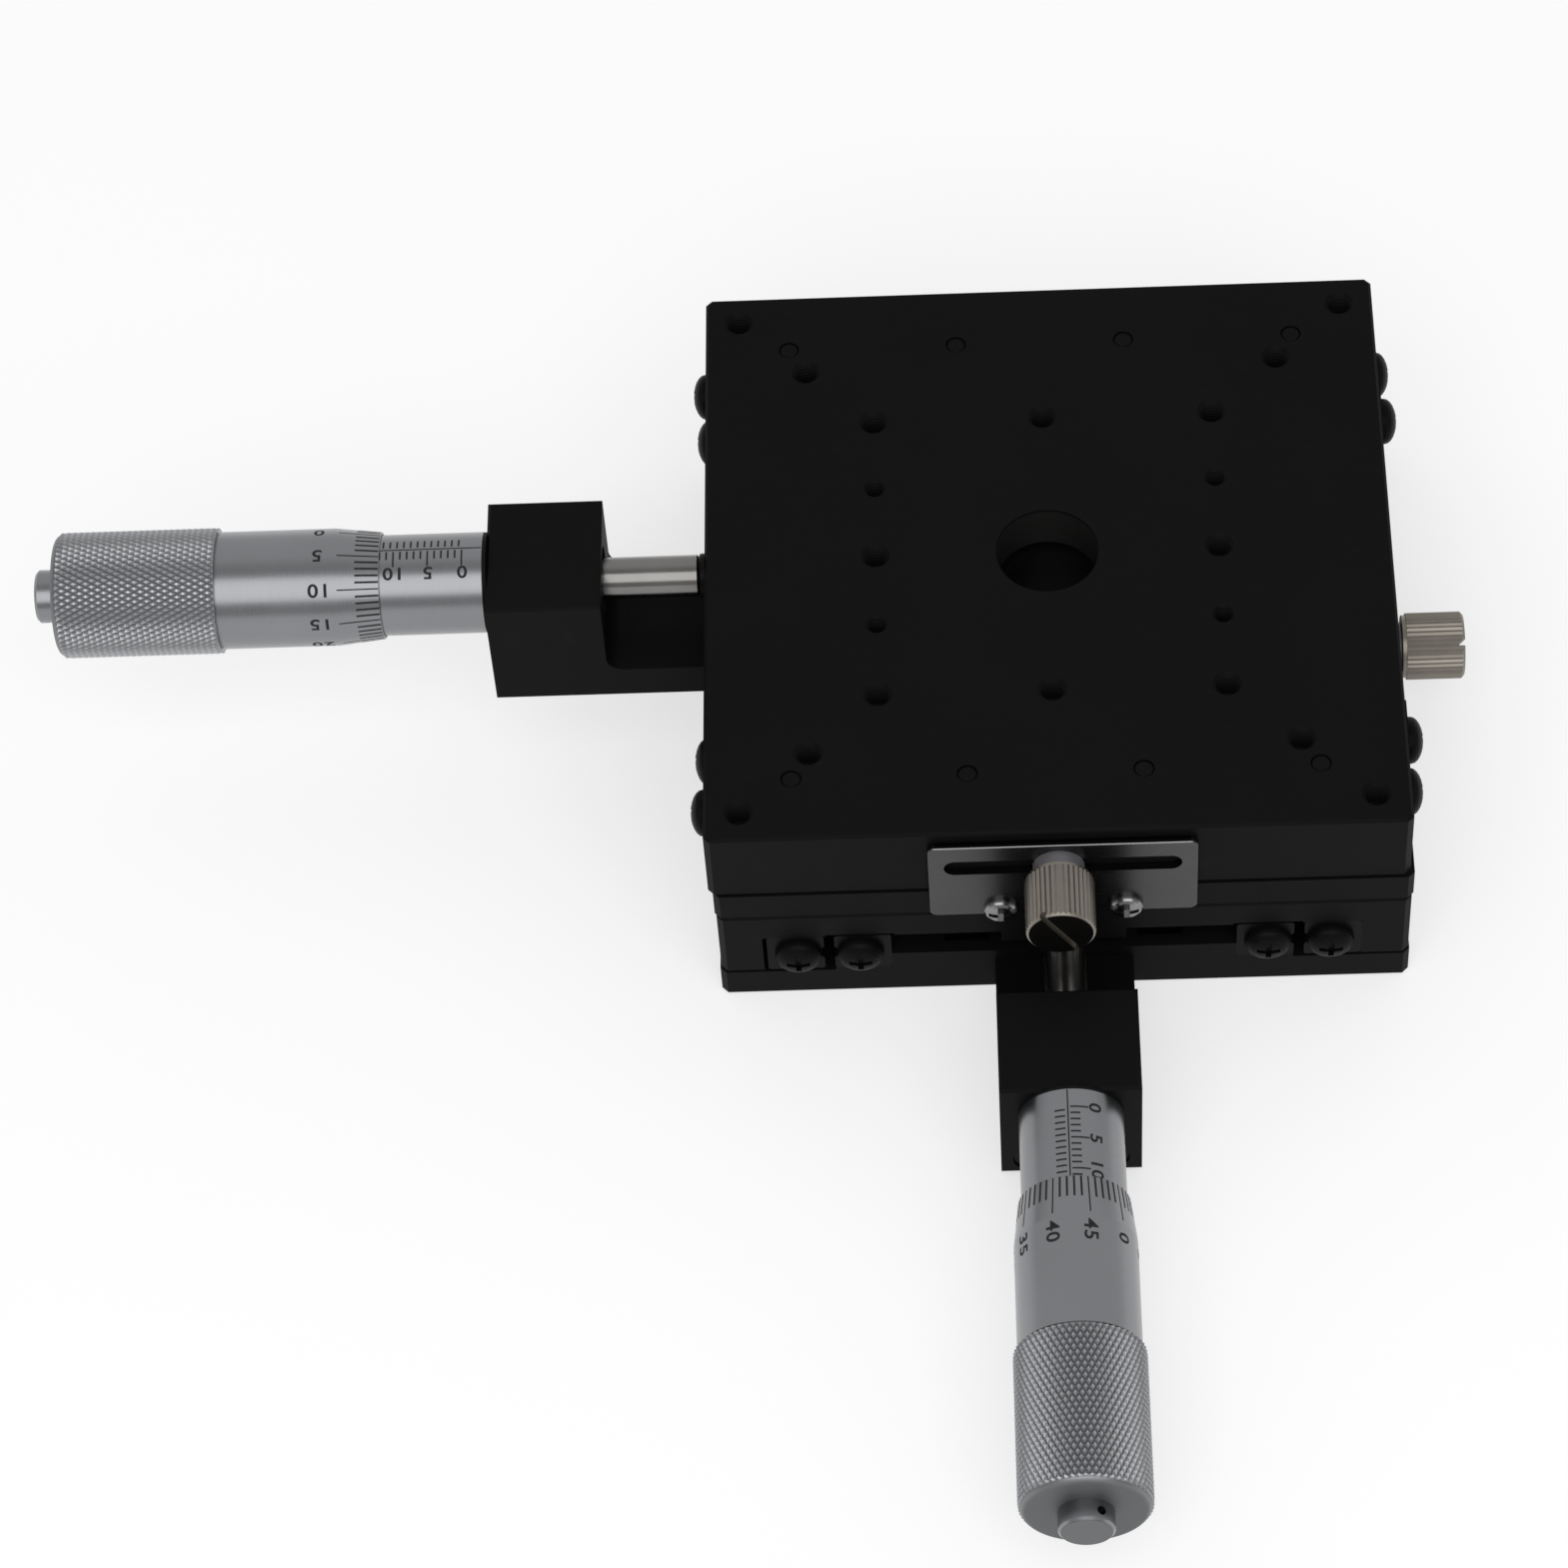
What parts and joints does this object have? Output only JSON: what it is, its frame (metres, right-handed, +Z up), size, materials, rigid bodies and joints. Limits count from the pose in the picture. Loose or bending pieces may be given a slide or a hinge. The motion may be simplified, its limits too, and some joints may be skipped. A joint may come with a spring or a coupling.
{
  "type": "two-axis micrometer stage",
  "caption": "Flat two-axis positioning stage: stacked crossed-roller tables at right angles, each moved by a micrometer head and held by a thumb-screw lock, with a drilled square top.",
  "frame": {"origin": "centre of the central aperture at the underside of the lower base plate", "axes": "+Z up, +X right and +Y away as seen from the front micrometer head: the lower unit travels along Y with its head at -Y, the upper one along X with its head at -X"},
  "size_m": [0.2098, 0.2006, 0.0447],
  "materials": {
    "black_anodised": "fine matt black anodised, edges a little worn bright",
    "rail_steel": "hardened and blackened",
    "bearing_steel": "polished",
    "cage_brass": "stamped sheet",
    "nut_brass": "turned",
    "black_oxide_steel": "black oxide",
    "plated_screws": "bright zinc plated",
    "black_ring": "matt",
    "satin_chrome": "satin chrome plated",
    "ground_steel": "ground",
    "plate_stainless": "smooth stainless sheet",
    "nickel_plated": "satin nickel plated",
    "spring_steel": "drawn wire"
  },
  "bodies": {
    "base": {"y_base_plate": "black_anodised", "y_inner_rails": "rail_steel", "y_inner_rail_bolts": "black_oxide_steel", "y_inner_end_screws": "black_oxide_steel", "y_bracket": "black_anodised", "y_bracket_screws": "black_oxide_steel", "y_clamp_screw": "black_oxide_steel", "y_seat_ring": "black_ring", "y_sleeve": "satin_chrome", "y_spindle_nut": "nut_brass", "y_lock_plate": "plate_stainless", "y_lock_plate_screws": "plated_screws", "y_return_springs": "spring_steel", "y_base_spring_posts": "ground_steel"},
    "cross_slide": {"y_table": "black_anodised", "y_outer_rails": "rail_steel", "y_outer_rail_bolts": "black_oxide_steel", "y_outer_end_screws": "black_oxide_steel", "y_preload_screws": "black_oxide_steel", "y_contact_button": "ground_steel", "y_table_spring_posts": "ground_steel", "unit_join_screws": "black_oxide_steel", "x_base_plate": "black_anodised", "x_inner_rails": "rail_steel", "x_inner_rail_bolts": "black_oxide_steel", "x_inner_end_screws": "black_oxide_steel", "x_bracket": "black_anodised", "x_bracket_screws": "black_oxide_steel", "x_clamp_screw": "black_oxide_steel", "x_seat_ring": "black_ring", "x_sleeve": "satin_chrome", "x_spindle_nut": "nut_brass", "x_lock_plate": "plate_stainless", "x_lock_plate_screws": "plated_screws", "x_return_springs": "spring_steel", "x_base_spring_posts": "ground_steel"},
    "top_table": {"x_table": "black_anodised", "x_outer_rails": "rail_steel", "x_outer_rail_bolts": "black_oxide_steel", "x_outer_end_screws": "black_oxide_steel", "x_preload_screws": "black_oxide_steel", "x_contact_button": "ground_steel", "x_table_spring_posts": "ground_steel"},
    "y_roller_train": {"y_roller_cages": "cage_brass", "y_rollers": "bearing_steel"},
    "y_spindle": {"y_spindle": "ground_steel"},
    "y_thimble": {"y_thimble": "satin_chrome", "y_thimble_cap": "satin_chrome"},
    "y_lock_washer": {"y_lock_washer": "plated_screws"},
    "y_lock_knob": {"y_lock_knob": "nickel_plated"},
    "x_roller_train": {"x_roller_cages": "cage_brass", "x_rollers": "bearing_steel"},
    "x_spindle": {"x_spindle": "ground_steel"},
    "x_thimble": {"x_thimble": "satin_chrome", "x_thimble_cap": "satin_chrome"},
    "x_lock_washer": {"x_lock_washer": "plated_screws"},
    "x_lock_knob": {"x_lock_knob": "nickel_plated"}
  },
  "joints": [
    {"name": "y_travel", "type": "slide", "parent": "base", "child": "cross_slide", "axis": [0, 1, 0], "range_m": [-0.0125, 0.01142], "deforming": ["y_return_springs"]},
    {"name": "y_roller_travel", "type": "slide", "parent": "base", "child": "y_roller_train", "axis": [0, 1, 0], "range_m": [-0.00625, 0.00571]},
    {"name": "y_spindle_travel", "type": "slide", "parent": "base", "child": "y_spindle", "axis": [0, 1, 0], "range_m": [-0.0125, 0.01142]},
    {"name": "y_thimble_turn", "type": "hinge", "parent": "y_spindle", "child": "y_thimble", "pos_m": [0, -0.12, 0.0161], "axis": [0, 1, 0], "range_deg": [-9000, 8222.4]},
    {"name": "y_lock_release", "type": "slide", "parent": "cross_slide", "child": "y_lock_washer", "axis": [1, 0, 0], "range_m": [0, 0.0005]},
    {"name": "y_lock_turn", "type": "hinge", "parent": "y_lock_washer", "child": "y_lock_knob", "pos_m": [0.0518, 0, 0.0126], "axis": [1, 0, 0], "range_deg": [0, 360]},
    {"name": "x_travel", "type": "slide", "parent": "cross_slide", "child": "top_table", "axis": [1, 0, 0], "range_m": [-0.01188, 0.01204], "deforming": ["x_return_springs"]},
    {"name": "x_roller_travel", "type": "slide", "parent": "cross_slide", "child": "x_roller_train", "axis": [1, 0, 0], "range_m": [-0.00594, 0.00602]},
    {"name": "x_spindle_travel", "type": "slide", "parent": "cross_slide", "child": "x_spindle", "axis": [1, 0, 0], "range_m": [-0.01188, 0.01204]},
    {"name": "x_thimble_turn", "type": "hinge", "parent": "x_spindle", "child": "x_thimble", "pos_m": [-0.12, 0, 0.0355], "axis": [1, 0, 0], "range_deg": [-8553.6, 8668.8]},
    {"name": "x_lock_release", "type": "slide", "parent": "top_table", "child": "x_lock_washer", "axis": [0, -1, 0], "range_m": [0, 0.0005]},
    {"name": "x_lock_turn", "type": "hinge", "parent": "x_lock_washer", "child": "x_lock_knob", "pos_m": [-0.00062, -0.0535, 0.032], "axis": [0, -1, 0], "range_deg": [0, 360]}
  ],
  "couplings": [
    {"joint": "y_roller_travel", "follows": "y_travel", "ratio": 0.5},
    {"joint": "y_spindle_travel", "follows": "y_travel", "ratio": 1},
    {"joint": "y_thimble_turn", "follows": "y_travel", "rad_per_m": 12566},
    {"joint": "y_lock_turn", "follows": "y_lock_release", "rad_per_m": 12566},
    {"joint": "x_roller_travel", "follows": "x_travel", "ratio": 0.5},
    {"joint": "x_spindle_travel", "follows": "x_travel", "ratio": 1},
    {"joint": "x_thimble_turn", "follows": "x_travel", "rad_per_m": 12566},
    {"joint": "x_lock_turn", "follows": "x_lock_release", "rad_per_m": 12566}
  ]
}
